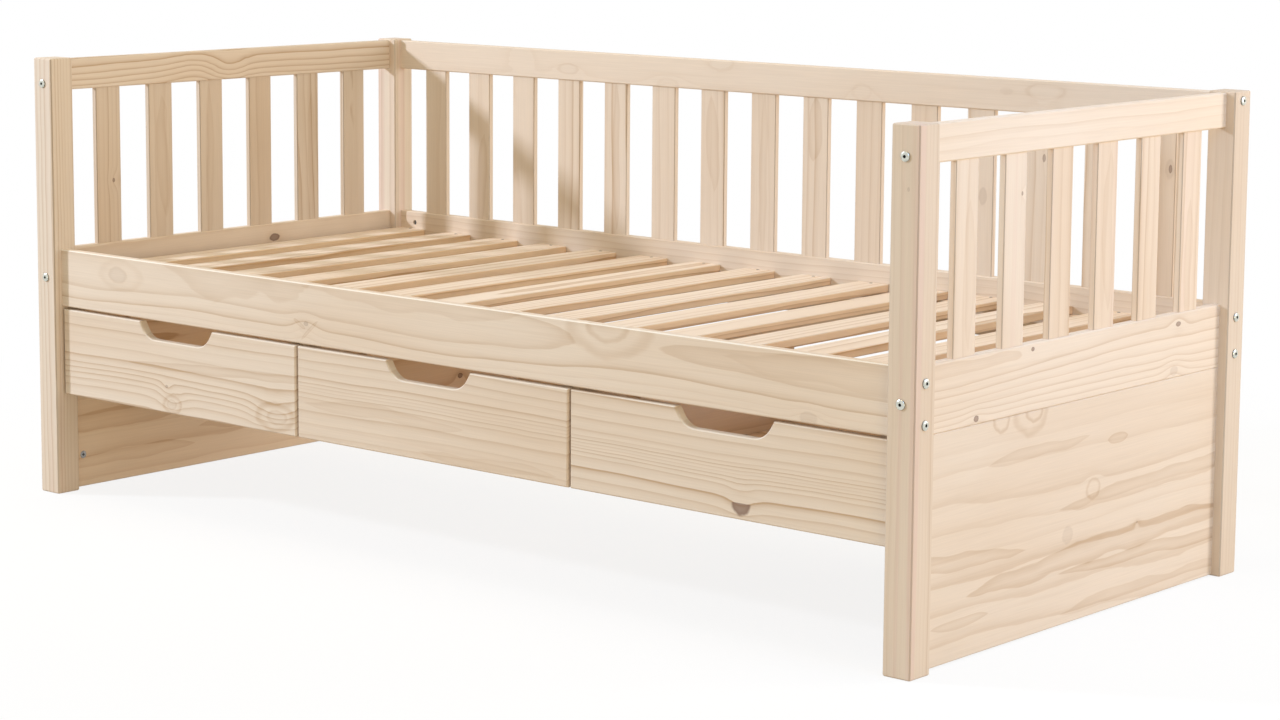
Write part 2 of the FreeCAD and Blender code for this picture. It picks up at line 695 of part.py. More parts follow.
def make_fasteners():
    bolts, nuts, cams, cam_bolts, brackets = [], [], [], [], []

    def spot(out, side, distance, z, aside="0"):
        """A point at a distance from the bed's middle along one direction, in the other rail's plane."""
        reach = f"({distance})"
        if abs(out.x) > 0:
            return f"{out.x} * {reach}", f"{side.y} * ({POST_Y} - {aside})", z
        return f"{side.x} * ({POST_X} - {aside})", f"{out.y} * {reach}", z

    for out, side, bolt_heights, nut_line in rail_ends():
        outer = "bed_length / 2" if abs(out.x) > 0 else "bed_width / 2"
        nut_turn = Rotation(out, nut_line.cross(out), nut_line, "XZY")
        for z in bolt_heights:
            bolts.append((*spot(out, side, outer, z), Rotation(Vector(0, 0, 1), out)))
            nuts.append((*spot(out, side, f"{outer} - post_side - nut_inset", z), nut_turn))
    panel_end = "bed_width / 2 - post_side"
    for x_sign in ENDS.values():
        for y_sign in SIDES.values():
            out, side = Vector(0, y_sign, 0), Vector(x_sign, 0, 0)
            face_turn = Rotation(out, side.cross(out) * -1, side * -1, "XZY")
            cam_face = spot(out, side, f"{panel_end} - cam_inset", "cam_rise", "rail_thickness / 2")
            cams.append((*cam_face, face_turn))
            cam_bolts.append((*spot(out, side, panel_end, "cam_rise"), Rotation(Vector(0, 0, 1), out * -1)))
    copies("connector_bolts", make_bolt(), bolts)
    copies("barrel_nuts", make_nut(), nuts)
    copies("cam_locks", make_cam(), cams)
    copies("cam_bolts", make_cam_bolt(), cam_bolts)

    height = f"(side_rail_base + ({LEDGER_TOP} - ledger_height)) / 2"
    for x_sign in ENDS.values():
        for y_sign in SIDES.values():
            x = f"{x_sign} * ({DIVIDER_X} + divider_thickness / 2)"
            y = f"{y_sign} * {INNER_Y}"
            leg_x, leg_y = Vector(x_sign, 0, 0), Vector(0, -y_sign, 0)
            turn = Rotation(leg_x, leg_y, leg_x.cross(leg_y), "XYZ")
            brackets.append((x, y, height, turn))
    copies("divider_brackets", make_bracket(), brackets)


def make_bed():
    for side in SIDES:
        for end in ENDS:
            make_post(end, side)
    for end in ENDS:
        make_end(end)
    make_side_rail("front_side_rail", "front", "side_rail_height", SIDE_RAIL_Z, [f"-{ROW}", ROW], 0, 1)
    make_side_rail("back_side_rail", "back", "side_rail_height", SIDE_RAIL_Z, [f"-{ROW}", ROW], -1, -1)
    make_side_rail("back_top_rail", "back", "top_rail_height", TOP_RAIL_Z, [HALF_ROW], 1, 1)
    for end, sign in ENDS.items():
        make_uprights(f"{end}_end_uprights", "Y", END_UPRIGHT_PITCH, "end_upright_count",
                      f"{sign} * {POST_X}", "0")
    make_uprights("back_uprights", "X", "back_upright_pitch", "back_upright_count", "0", POST_Y)
    make_bed_base()
    for end in ENDS:
        make_divider(end)
        make_guide(end)
    make_batten_row("drawer_runners", "runner_width", "runner_height", "runner_length", "0", RUN_Y, RUNNER_Z)
    make_batten_row("drawer_kickers", "kicker_width", "kicker_height", "runner_length", "0", RUN_Y, KICKER_Z)
    stop_y = (f"{BOX_BACK_Y} - housing_inset - side_thickness - drawer_travel - stop_play"
              " - stop_length / 2")
    make_batten_row("drawer_stops", "stop_width", "stop_height", "stop_length",
                    "(kicker_width - stop_width)", stop_y,
                    f"{KICKER_Z} - (kicker_height + stop_height) / 2")
    for step, name in enumerate(("left", "middle", "right"), start=-1):
        make_drawer(name, step)
    make_fasteners()
    doc.recompute()


def check_bed():
    for thing in doc.Objects:
        if "Invalid" in thing.State or "Error" in thing.State:
            raise RuntimeError(f"{thing.Label} did not build: {thing.State}")
    for node in nodes:
        if node.Shape.isNull() or not node.Shape.isValid():
            raise RuntimeError(f"{node.Label} has no valid shape")


def write_bed():
    os.makedirs("parts", exist_ok=True)
    for node in nodes:
        node.Shape.exportStep(f"parts/{node.Label}.step")
        print(node.Label, len(node.Shape.Solids), "solids", f"{node.Shape.Volume / 1000:.0f} cm3")
    print(len(nodes), "nodes")


fill_sheet()
make_bed()
check_bed()
write_bed()
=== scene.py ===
import math

import bmesh
import bpy
from mathutils import Matrix, Vector


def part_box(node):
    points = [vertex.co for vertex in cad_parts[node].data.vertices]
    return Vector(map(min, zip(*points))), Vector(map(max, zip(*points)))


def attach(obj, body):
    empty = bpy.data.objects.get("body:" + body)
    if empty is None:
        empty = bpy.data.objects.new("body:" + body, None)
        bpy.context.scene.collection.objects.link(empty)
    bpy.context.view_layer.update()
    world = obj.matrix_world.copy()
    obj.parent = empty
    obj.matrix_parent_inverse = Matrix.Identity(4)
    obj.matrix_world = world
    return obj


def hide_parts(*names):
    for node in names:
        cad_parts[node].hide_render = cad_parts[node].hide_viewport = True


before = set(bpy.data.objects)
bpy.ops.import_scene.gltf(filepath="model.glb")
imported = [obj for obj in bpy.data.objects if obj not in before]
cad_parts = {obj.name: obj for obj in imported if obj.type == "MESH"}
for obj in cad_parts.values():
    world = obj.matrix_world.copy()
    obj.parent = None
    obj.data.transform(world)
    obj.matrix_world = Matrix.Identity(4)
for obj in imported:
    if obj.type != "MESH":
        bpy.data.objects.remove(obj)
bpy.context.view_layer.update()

# Cabin bed of untreated pine. Metres, in the frame of the solids: +X along the bed to its right end,
# +Y to the slatted back, +Z up.

# Rows of like boards
END_UPRIGHTS = 6
BACK_UPRIGHTS = 15
UPRIGHT_WIDTH = 0.060
BED_SLATS = 15
SLAT_WIDTH = 0.070
SLAT_THICKNESS = 0.015

# Connector bolts. The dome of the head is rings of a radius and a drop below the top.
BOLT_HEAD_RADIUS = 0.008
BOLT_HEAD_HEIGHT = 0.003
BOLT_DOME = ((0.0050, 0.0), (0.0066, 0.0003), (0.0076, 0.0008))
BOLT_RIM_HEIGHT = 0.0016
BOLT_SHANK_RADIUS = 0.003
BOLT_LENGTH = 0.100
BOLT_ROW_PITCH = 0.032
SOCKET_FLATS = 0.005
SOCKET_DEPTH = 0.004

# Barrel nuts, cam locks and slat screws. Their slots and crosses leave a rim round them.
NUT_RADIUS = 0.005
NUT_LENGTH = 0.014
NUT_INSET = 0.042
NUT_SLOT = dict(rim=0.0008, width=0.0014, depth=0.0015, both=False)
CAM_RADIUS = 0.0075
CAM_DEPTH = 0.0125
CAM_INSET = 0.024
CAM_RISE = 0.065
CAM_CROSS = dict(rim=0.0035, width=0.0016, depth=0.0025)
SCREW_RADIUS = 0.0036
SCREW_TIP_RADIUS = 0.0016
SCREW_DEPTH = 0.004
SCREW_INSET = 0.008
SCREW_CROSS = dict(rim=0.0010, width=0.0010, depth=0.0018)
EASE = 0.0004
SCREW_EASE = 0.0003
ROUND_SEGMENTS = 24
SCREW_SEGMENTS = 16

# The photograph's camera: a long lens from the right front, a little above the top rails
PHOTO_WIDTH = 1280
FOCAL_PIXELS = 3050.2
SENSOR_WIDTH = 36.0
CAMERA_PLACE = (3.653, -4.160, 1.233)
CAMERA_YAW = 40.669
CAMERA_PITCH = 7.707
CAMERA_ROLL = 0.415
CAMERA_SHIFT = -0.07

# The studio. Light from its floor is tinted, and the shadow fades out between the two distances.
SKY_LIGHT = 0.49
SKY_COLOUR = (1.0, 0.99, 0.83, 1.0)
WHITE = (1.0, 1.0, 1.0, 1.0)
FLOOR_COLOUR = (0.66, 0.57, 0.46, 1.0)
FLOOR_SIZE = 40.0
FLOOR_DROP = 0.0005
SHADOW_SHARE = 0.15
SHADOW_NEAR, SHADOW_FAR = 0.9, 2.4
BED_MIDDLE = Vector((0.0, 0.0, 0.42))

AXES = "xyz"


class Wires:
    """Adds nodes to one node tree and joins their sockets."""

    def __init__(self, tree):
        self.tree = tree

    def node(self, kind, **settings):
        made = self.tree.nodes.new(kind)
        for name, value in settings.items():
            setattr(made, name, value)
        return made

    def feed(self, socket, value):
        if isinstance(value, bpy.types.NodeSocket):
            self.tree.links.new(value, socket)
        else:
            socket.default_value = value

    def math(self, operation, *values):
        made = self.node("ShaderNodeMath", operation=operation)
        for socket, value in zip(made.inputs, values):
            self.feed(socket, value)
        return made.outputs[0]

    def vector(self, *parts):
        made = self.node("ShaderNodeCombineXYZ")
        for socket, value in zip(made.inputs, parts):
            self.feed(socket, value)
        return made.outputs[0]

    def smooth(self, value, low, high):
        made = self.node("ShaderNodeMapRange", interpolation_type="SMOOTHSTEP")
        self.feed(made.inputs["Value"], value)
        self.feed(made.inputs["From Min"], low)
        self.feed(made.inputs["From Max"], high)
        return made.outputs["Result"]

    def fade(self, value, low, high):
        return self.math("SUBTRACT", 1.0, self.smooth(value, low, high))

    def between(self, amount, low, high):
        return self.math("MULTIPLY_ADD", amount, high - low, low)

    def length(self, first, second):
        squares = [self.math("MULTIPLY", side, side) for side in (first, second)]
        return self.math("SQRT", self.math("ADD", *squares))

    def noise(self, place, scale=1.0, detail=2.0, roughness=0.5):
        made = self.node("ShaderNodeTexNoise", noise_dimensions="3D")
        self.feed(made.inputs["Vector"], place)
        self.feed(made.inputs["Scale"], scale)
        self.feed(made.inputs["Detail"], detail)
        self.feed(made.inputs["Roughness"], roughness)
        return made.outputs["Fac"]

    def sway(self, place, **settings):
        """Noise about zero."""
        return self.math("SUBTRACT", self.noise(place, **settings), 0.5)

    def chance(self, number):
        made = self.node("ShaderNodeTexWhiteNoise", noise_dimensions="1D")
        self.feed(made.inputs["W"], number)
        return made.outputs["Value"]

    def blend(self, amount, first, second, how="MIX"):
        made = self.node("ShaderNodeMix", data_type="RGBA", blend_type=how)
        self.feed(made.inputs["Factor"], amount)
        self.feed(made.inputs[6], first)
        self.feed(made.inputs[7], second)
        return made.outputs[2]

    def bump(self, height, strength, distance, normal=None):
        made = self.node("ShaderNodeBump")
        self.feed(made.inputs["Height"], height)
        self.feed(made.inputs["Strength"], strength)
        self.feed(made.inputs["Distance"], distance)
        if normal is not None:
            self.feed(made.inputs["Normal"], normal)
        return made.outputs["Normal"]

    def group(self, tree, **values):
        made = self.node("ShaderNodeGroup", node_tree=tree)
        for name, value in values.items():
            self.feed(made.inputs[name.replace("_", " ").capitalize()], value)
        return made


def new_group(name, inputs, outputs):
    tree = bpy.data.node_groups.new(name, "ShaderNodeTree")
    for label, start in inputs.items():
        socket = tree.interface.new_socket(label, in_out="INPUT", socket_type="NodeSocketFloat")
        socket.default_value = start
    for label, kind in outputs.items():
        tree.interface.new_socket(label, in_out="OUTPUT", socket_type=f"NodeSocket{kind}")
    wires = Wires(tree)
    return tree, wires, wires.node("NodeGroupInput").outputs, wires.node("NodeGroupOutput").inputs


# Pine

PALE_WOOD = (0.790, 0.690, 0.588, 1.0)
ROSY_WOOD = (0.730, 0.592, 0.460, 1.0)
PINK_WOOD = (0.760, 0.600, 0.520, 1.0)
RING_WOOD = (0.540, 0.385, 0.250, 1.0)
KNOT_WOOD = (0.225, 0.138, 0.102, 1.0)
# A pale wood colour for the painted highlight on upper edges
HIGHLIGHT_WOOD = (0.93, 0.88, 0.80, 1.0)
# The tint of painted warm bounce light in shade
WARM_SHADE = (0.99, 0.87, 0.69, 1.0)
RIPPLE_HEIGHT = 0.0036
GRAIN_RELIEF = 0.0003
GRAIN_SHEEN = 0.35
BOARD_SEED_STEP = 3.17
# A narrow side's painted warm bounce light and brightening fade out between these depths below the face
SIDE_DEPTHS = (0.0005, 0.0015)


def make_knot_group():
    """One knot: how far it lifts the growth rings round it, the line drawn round it, and how much of its own
    dark wood shows."""
    tree, wires, given, made = new_group(
        "pine_knot",
        {"Along": 0.0, "Across": 0.0, "Centre along": 0.0, "Centre across": 0.0, "Radius": 0.01,
         "Stretch": 1.4, "Lift": 0.01, "Reach": 2.4, "Dark": 0.0, "Cut": 1.0, "Rim": 0.0},
        {"Lift": "Float", "Core": "Float", "Rim": "Float"})
    along = wires.math("SUBTRACT", given["Along"], given["Centre along"])
    along = wires.math("DIVIDE", along, given["Stretch"])
    across = wires.math("SUBTRACT", given["Across"], given["Centre across"])
    ratio = wires.math("DIVIDE", wires.length(along, across), given["Radius"])
    sides = [wires.math("DIVIDE", side, given["Radius"]) for side in (along, across)]
    ragged = wires.sway(wires.vector(*sides, given["Centre along"]), scale=1.2)
    ratio = wires.math("MULTIPLY_ADD", ragged, 0.45, ratio)

    wide = wires.math("DIVIDE", ratio, given["Reach"])
    bell = wires.math("EXPONENT", wires.math("MULTIPLY", wires.math("MULTIPLY", wide, wide), -1.0))
    wires.feed(made["Lift"], wires.math("MULTIPLY", bell, given["Lift"]))

    inside = wires.fade(ratio, 0.82, 1.12)
    deeper = wires.between(wires.smooth(ratio, 0.45, 0.95), 0.84, 1.0)
    below = wires.math("LESS_THAN", across, given["Cut"])
    core = wires.math("MULTIPLY", wires.math("MULTIPLY", inside, deeper), below)
    wires.feed(made["Core"], wires.math("MULTIPLY", core, given["Dark"]))

    line = wires.math("SUBTRACT", wires.smooth(ratio, 0.62, 0.96), wires.smooth(ratio, 0.98, 1.18))
    wires.feed(made["Rim"], wires.math("MULTIPLY", line, given["Rim"]))
    return tree


def make_flame_group():
    """One flame: a long pointed patch where the face stays inside one ring, darkest along its edge."""
    tree, wires, given, made = new_group(
        "pine_flame",
        {"Along": 0.0, "Across": 0.0, "Centre along": 0.0, "Centre across": 0.0, "Length": 0.2,
         "Width": 0.015, "Slope": 0.0, "Strength": 0.4},
        {"Late": "Float"})
    along = wires.math("SUBTRACT", given["Along"], given["Centre along"])
    across = wires.math("SUBTRACT", given["Across"], given["Centre across"])
    across = wires.math("SUBTRACT", across, wires.math("MULTIPLY", along, given["Slope"]))

    # It drifts along its length, and its edge wavers
    own = wires.math("MULTIPLY", given["Centre along"], 57.0)
    drift = wires.sway(wires.vector(wires.math("MULTIPLY", along, 7.0),
                                    wires.math("MULTIPLY", given["Centre across"], 91.0), own), detail=1.0)
    across = wires.math("MULTIPLY_ADD", drift, wires.math("MULTIPLY", given["Width"], 1.8), across)
    waver = wires.sway(wires.vector(wires.math("MULTIPLY", along, 8.0),
                                    wires.math("MULTIPLY", across, 38.0), own))
    tip = wires.math("POWER", wires.math("ABSOLUTE", wires.math("DIVIDE", along, given["Length"])), 3.6)
    ratio = wires.math("ADD", wires.math("DIVIDE", wires.math("ABSOLUTE", across), given["Width"]), tip)
    ratio = wires.math("MULTIPLY_ADD", waver, 1.2, ratio)
    inside = wires.fade(ratio, 0.92, 1.06)
    deeper = wires.between(wires.smooth(ratio, 0.10, 0.95), 0.40, 1.0)
    patch = wires.math("MULTIPLY", inside, deeper)
    wires.feed(made["Late"], wires.math("MULTIPLY", patch, given["Strength"]))
    return tree


def make_figure_group():
    """Growth rings, fibre and tone at a place in a pine board, which has its own distance from the pith."""
    tree, wires, given, made = new_group(
        "pine_figure",
        {"Along": 0.0, "Across": 0.0, "Depth": 0.0, "Seed": 0.0, "Pith across": 0.0, "Pith depth": -0.06,
         "Ring width": 0.006, "Ring pull": 1.0, "Uneven": 3.0, "Crowd": 0.0, "Crowd at": 0.0,
         "Crowd width": 0.02, "Wander": 0.012, "Bend along": 1.5, "Bend across": 5.0, "Figure": 0.8,
         "Vary": 0.85, "Tone": 0.5, "Pink": 0.0, "Warm": 0.0, "Shade": 1.0, "Arris": 0.0, "Crest": 0.0,
         "Edge": 0.0010, "Lift": 0.0, "Drawn": 0.0, "Knot": 0.0},
        {"Colour": "Color", "Roughness": "Float", "Normal": "Vector"})
    along, across, depth, seed = (given[name] for name in ("Along", "Across", "Depth", "Seed"))

    def spread(along_scale, across_scale, step):
        """A place for noise that is drawn out along the grain and differs from board to board."""
        return wires.vector(
            wires.math("MULTIPLY_ADD", along, along_scale, wires.math("MULTIPLY", seed, step)),
            wires.math("MULTIPLY_ADD", across, across_scale, seed),
            wires.math("MULTIPLY", depth, across_scale))

    # Distance from the pith, which the stem's bends and the knots pull out of round
    aside = wires.math("SUBTRACT", across, given["Pith across"])
    under = wires.math("SUBTRACT", depth, given["Pith depth"])
    bend = wires.sway(spread(given["Bend along"], given["Bend across"], 3.7), detail=1.5)
    ripple = wires.sway(spread(8.0, 34.0, 1.9))
    reach = wires.math("MULTIPLY", wires.length(aside, under), given["Ring pull"])
    reach = wires.math("MULTIPLY_ADD", bend, wires.math("MULTIPLY", given["Wander"], 2.0), reach)
    reach = wires.math("MULTIPLY_ADD", ripple, RIPPLE_HEIGHT, reach)
    reach = wires.math("ADD", reach, given["Lift"])

    # Good and poor years make wide and narrow rings, and some boards have a crowded band
    rings = wires.math("DIVIDE", reach, given["Ring width"])
    years = wires.noise(wires.vector(wires.math("MULTIPLY", rings, 0.22), seed, 0.0), detail=0.0)
    rings = wires.math("MULTIPLY_ADD", years, given["Uneven"], rings)
    crowded = wires.smooth(reach, wires.math("SUBTRACT", given["Crowd at"], given["Crowd width"]),
                           wires.math("ADD", given["Crowd at"], given["Crowd width"]))
    rings = wires.math("MULTIPLY_ADD", crowded, given["Crowd"], rings)

    # Each ring darkens slowly through the year and ends in a sharp line
    season = wires.math("FRACT", rings)
    year = wires.chance(wires.math("ADD", wires.math("FLOOR", rings), seed))
    darkening = wires.math("POWER", wires.smooth(season, 0.10, 0.96), 2.0)
    line = wires.smooth(season, 0.74, 0.94)
    ending = wires.fade(season, 0.955, 1.0)
    poor = wires.math("SUBTRACT", 1.0, wires.math("POWER", year, 1.4))
    strength = wires.math("SUBTRACT", 1.0, wires.math("MULTIPLY", poor, given["Vary"]))
    late = wires.math("MULTIPLY_ADD", darkening, 0.55, wires.math("MULTIPLY", line, 0.45))
    late = wires.math("MULTIPLY", wires.math("MULTIPLY", late, ending), strength)
    late = wires.math("MULTIPLY", late, given["Figure"])

    fibre = wires.noise(spread(10.0, 520.0, 2.3), roughness=0.6)
    streak = wires.noise(spread(2.2, 110.0, 5.1), roughness=0.55)
    cloud = wires.noise(spread(1.1, 4.5, 7.9))
    blush = wires.noise(spread(0.7, 42.0, 4.3), detail=1.0)

    late = wires.math("MULTIPLY_ADD", wires.smooth(streak, 0.50, 0.80), 0.13, late)
    late = wires.math("ADD", late, given["Drawn"])
    rosy = wires.math("MULTIPLY", wires.smooth(cloud, 0.42, 0.72), 0.55)
    rosy = wires.math("ADD", rosy, wires.math("MULTIPLY", given["Tone"], 0.45))
    pink = wires.math("MULTIPLY", wires.smooth(blush, 0.50, 0.66), given["Pink"])
    colour = wires.blend(rosy, PALE_WOOD, ROSY_WOOD)
    colour = wires.blend(pink, colour, PINK_WOOD)
    colour = wires.blend(late, colour, RING_WOOD)
    # A warm tint multiplied in, painted warm shade and bounce light where it is set
    colour = wires.blend(given["Warm"], colour, WARM_SHADE, how="MULTIPLY")
    shade = wires.math("MULTIPLY", wires.between(fibre, 0.93, 1.07), given["Shade"])

    # Painted shade darkens the eased upright corners
    facing = wires.node("ShaderNodeSeparateXYZ")
    wires.feed(facing.inputs[0], wires.node("ShaderNodeNewGeometry").outputs["True Normal"])
    slanted = wires.math("MINIMUM", wires.math("ABSOLUTE", facing.outputs["X"]),
                         wires.math("ABSOLUTE", facing.outputs["Y"]))
    arris_shading = wires.math("MULTIPLY", wires.smooth(slanted, 0.4, 0.6), given["Arris"])
    shade = wires.math("MULTIPLY", shade, wires.math("SUBTRACT", 1.0, arris_shading))
    colour = wires.blend(1.0, colour, wires.vector(shade, shade, shade), how="MULTIPLY")

    # Painted highlight: the eased upper edges are blended towards a pale wood
    upper_highlight = wires.math("SUBTRACT", wires.smooth(facing.outputs["Z"], 0.4, 0.6),
                       wires.smooth(facing.outputs["Z"], 0.8, 0.95))
    colour = wires.blend(wires.math("MULTIPLY", upper_highlight, given["Crest"]), colour, HIGHLIGHT_WOOD)
    colour = wires.blend(given["Knot"], colour, KNOT_WOOD)
    wires.feed(made["Colour"], colour)

    rough = wires.between(fibre, 0.50, 0.68)
    wires.feed(made["Roughness"], wires.math("MULTIPLY_ADD", late, -0.10, rough))
    relief = wires.math("MULTIPLY_ADD", late, 0.5, wires.math("MULTIPLY", fibre, 0.7))
    softened = wires.node("ShaderNodeBevel", samples=4)
    wires.feed(softened.inputs["Radius"], given["Edge"])
    wires.feed(made["Normal"], wires.bump(relief, 0.35, GRAIN_RELIEF, softened.outputs["Normal"]))
    return tree


KNOT = make_knot_group()
FLAME = make_flame_group()
FIGURE = make_figure_group()


def new_finish(name):
    material = bpy.data.materials.new(name)
    material.use_nodes = True
    wires = Wires(material.node_tree)
    return material, wires, material.node_tree.nodes["Principled BSDF"].inputs


def pine(name, axes, centre, seed, row=None, knots=(), flames=(), edges=None, **figure):
    """Pine for one board, or for a row of like boards. The axes are the grain, the face's width and the
    thickness. A row is its first board's place along the width and its pitch, and its knots and flames name
    their board. Edges are the thickness, and the warm tint and brightening painted on the narrow sides as
    bounce light."""
    material, wires, shader = new_finish(name)
    split = wires.node("ShaderNodeSeparateXYZ")
    wires.feed(split.inputs[0], wires.node("ShaderNodeTexCoord").outputs["Object"])
    along, across, depth = (
        wires.math("SUBTRACT", split.outputs[AXES.index(axis)], centre[AXES.index(axis)]) for axis in axes)
    number = 0.0
    if row:
        first, pitch = row
        raw = split.outputs[AXES.index(axes[1])]
        number = wires.math("FLOOR", wires.math("MULTIPLY_ADD", raw, 1 / pitch, 0.5 - first / pitch))
        across = wires.math("SUBTRACT", raw, wires.math("MULTIPLY_ADD", number, pitch, first))
        seed = wires.math("MULTIPLY_ADD", number, BOARD_SEED_STEP, seed)
        aside, under, tone = (wires.chance(wires.math("ADD", seed, shift)) for shift in (0.0, 0.31, 0.57))
        figure["pith_across"] = wires.between(aside, -0.08, 0.08)
        figure["pith_depth"] = wires.between(under, -0.02, -0.12)
        figure["tone"] = tone
    # Narrow sides are painted with warm bounce light and made brighter
    if edges:
        thickness, side_shade_warmth, light = edges
        near, deep = SIDE_DEPTHS
        flat = wires.smooth(wires.math("ABSOLUTE", depth), thickness / 2 - deep, thickness / 2 - near)
        figure["warm"] = wires.between(flat, side_shade_warmth, 0.0)
        figure["shade"] = wires.between(flat, light, figure["shade"])
    lift, core, drawn = 0.0, 0.0, 0.0
    for mark in knots:
        on_board = wires.math("COMPARE", number, mark["board"], 0.5)
        eye = wires.group(KNOT, along=along, across=across, **mark["form"]).outputs
        lift = wires.math("MULTIPLY_ADD", eye["Lift"], on_board, lift)
        core = wires.math("MAXIMUM", core, wires.math("MULTIPLY", eye["Core"], on_board))
        drawn = wires.math("MULTIPLY_ADD", eye["Rim"], on_board, drawn)
    for mark in flames:
        on_board = wires.math("COMPARE", number, mark["board"], 0.5)
        patch = wires.group(FLAME, along=along, across=across, **mark["form"]).outputs
        drawn = wires.math("MULTIPLY_ADD", patch["Late"], on_board, drawn)
    look = wires.group(FIGURE, along=along, across=across, depth=depth, seed=seed, lift=lift, drawn=drawn,
                       knot=core, **figure).outputs
    wires.feed(shader["Base Color"], look["Colour"])
    wires.feed(shader["Roughness"], look["Roughness"])
    wires.feed(shader["Normal"], look["Normal"])
    wires.feed(shader["Specular IOR Level"], GRAIN_SHEEN)
    return material


def knot(along, across, radius, board=0, **more):
    """A knot at a place in the bed. On a row it is on one board, and across is from that board's middle."""
    return dict(board=board, form=dict(centre_along=along, centre_across=across, radius=radius, **more))


def flame(along, across, length, width, board=0, **more):
    """A flame by its middle in the bed, half its length and half its width."""
    return dict(board=board, form=dict(centre_along=along, centre_across=across, length=length, width=width,
                                       **more))


def middle(node):
    low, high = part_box(node)
    return (low + high) / 2


def dress(node, material):
    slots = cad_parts[node].data.materials
    slots.clear()
    slots.append(material)


def from_centre(marks, along_at, across_at):
    """The same knots or flames, with their places from a board's middle."""
    return [dict(mark, form=dict(mark["form"], centre_along=mark["form"]["centre_along"] - along_at,
                                 centre_across=mark["form"]["centre_across"] - across_at)) for mark in marks]


def finish_board(node, axes, seed, knots=(), flames=(), **figure):
    centre = middle(node)
    spot = [centre[AXES.index(axis)] for axis in axes[:2]]
    dress(node, pine(f"pine_{node}", axes, centre, seed, knots=from_centre(knots, *spot),
                     flames=from_centre(flames, *spot), **figure))


def finish_row(node, axes, seed, count, board_width, knots=(), flames=(), **figure):
    low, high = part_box(node)
    axis = AXES.index(axes[1])
    centre = middle(node)
    first = low[axis] + board_width / 2
    pitch = (high[axis] - low[axis] - board_width) / (count - 1)
    spot = (centre[AXES.index(axes[0])], 0.0)
    dress(node, pine(f"pine_{node}", axes, centre, seed, row=(first, pitch), knots=from_centre(knots, *spot),
                     flames=from_centre(flames, *spot), **figure))


